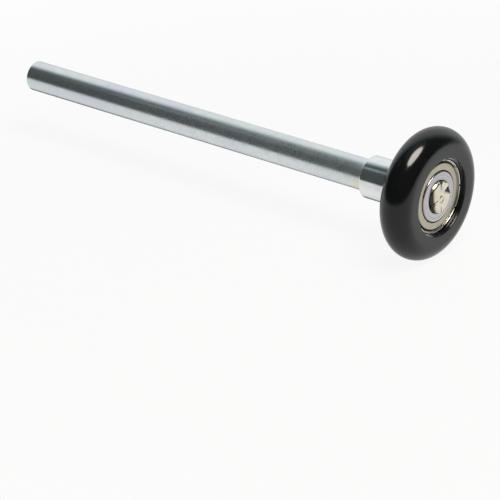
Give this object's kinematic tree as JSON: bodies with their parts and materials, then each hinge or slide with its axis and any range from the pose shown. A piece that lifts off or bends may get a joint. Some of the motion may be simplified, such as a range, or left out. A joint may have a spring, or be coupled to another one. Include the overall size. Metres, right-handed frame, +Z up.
{
  "type": "garage door roller",
  "caption": "Roller with a round-edged black tyre on a shielded ball bearing, turning freely on a long plain steel shaft with a short spacer sleeve.",
  "frame": {"origin": "on the axle, in the middle of the tyre's tread", "axes": "+Y along the axle from the wheel to the shaft's free end; -Y is the face with the staked head; +Z is up when the axle is level"},
  "size_m": [0.046, 0.184, 0.046],
  "materials": {
    "tyre_nylon": "moulded black nylon, glossy",
    "zinc_steel": "bright zinc plating on drawn steel",
    "ring_steel": "fine-turned and ground bearing steel",
    "shield_steel": "pressed sheet steel, satin with a warm tint",
    "cage_steel": "pressed sheet steel",
    "ball_steel": "polished bearing steel"
  },
  "bodies": {
    "axle": {"shaft": "zinc_steel", "sleeve": "zinc_steel", "inner_ring": "ring_steel"},
    "wheel": {"tyre": "tyre_nylon", "outer_ring": "ring_steel", "shield_front": "shield_steel", "shield_back": "shield_steel"},
    "cage": {"cage_front": "cage_steel", "cage_back": "cage_steel", "cage_rivets": "cage_steel"},
    "rolling_ball_1": {"ball_1": "ball_steel"},
    "rolling_ball_2": {"ball_2": "ball_steel"},
    "rolling_ball_3": {"ball_3": "ball_steel"},
    "rolling_ball_4": {"ball_4": "ball_steel"},
    "rolling_ball_5": {"ball_5": "ball_steel"},
    "rolling_ball_6": {"ball_6": "ball_steel"},
    "rolling_ball_7": {"ball_7": "ball_steel"},
    "rolling_ball_8": {"ball_8": "ball_steel"}
  },
  "joints": [
    {"name": "wheel_spin", "type": "hinge", "parent": "axle", "child": "wheel", "pos_m": [0, 0, 0], "axis": [0, 1, 0], "continuous": true},
    {"name": "cage_spin", "type": "hinge", "parent": "axle", "child": "cage", "pos_m": [0, -0.0005, 0], "axis": [0, 1, 0], "continuous": true},
    {"name": "ball_1_roll", "type": "hinge", "parent": "cage", "child": "rolling_ball_1", "pos_m": [0.01008, -0.0005, 0], "axis": [0, 1, 0], "continuous": true},
    {"name": "ball_2_roll", "type": "hinge", "parent": "cage", "child": "rolling_ball_2", "pos_m": [0.00713, -0.0005, 0.00713], "axis": [0, 1, 0], "continuous": true},
    {"name": "ball_3_roll", "type": "hinge", "parent": "cage", "child": "rolling_ball_3", "pos_m": [0, -0.0005, 0.01008], "axis": [0, 1, 0], "continuous": true},
    {"name": "ball_4_roll", "type": "hinge", "parent": "cage", "child": "rolling_ball_4", "pos_m": [-0.00713, -0.0005, 0.00713], "axis": [0, 1, 0], "continuous": true},
    {"name": "ball_5_roll", "type": "hinge", "parent": "cage", "child": "rolling_ball_5", "pos_m": [-0.01008, -0.0005, 0], "axis": [0, 1, 0], "continuous": true},
    {"name": "ball_6_roll", "type": "hinge", "parent": "cage", "child": "rolling_ball_6", "pos_m": [-0.00713, -0.0005, -0.00713], "axis": [0, 1, 0], "continuous": true},
    {"name": "ball_7_roll", "type": "hinge", "parent": "cage", "child": "rolling_ball_7", "pos_m": [0, -0.0005, -0.01008], "axis": [0, 1, 0], "continuous": true},
    {"name": "ball_8_roll", "type": "hinge", "parent": "cage", "child": "rolling_ball_8", "pos_m": [0.00713, -0.0005, -0.00713], "axis": [0, 1, 0], "continuous": true}
  ],
  "couplings": [
    {"joint": "cage_spin", "follows": "wheel_spin", "ratio": 0.61806},
    {"joint": "ball_1_roll", "follows": "wheel_spin", "ratio": 1.9996},
    {"joint": "ball_2_roll", "follows": "wheel_spin", "ratio": 1.9996},
    {"joint": "ball_3_roll", "follows": "wheel_spin", "ratio": 1.9996},
    {"joint": "ball_4_roll", "follows": "wheel_spin", "ratio": 1.9996},
    {"joint": "ball_5_roll", "follows": "wheel_spin", "ratio": 1.9996},
    {"joint": "ball_6_roll", "follows": "wheel_spin", "ratio": 1.9996},
    {"joint": "ball_7_roll", "follows": "wheel_spin", "ratio": 1.9996},
    {"joint": "ball_8_roll", "follows": "wheel_spin", "ratio": 1.9996}
  ]
}
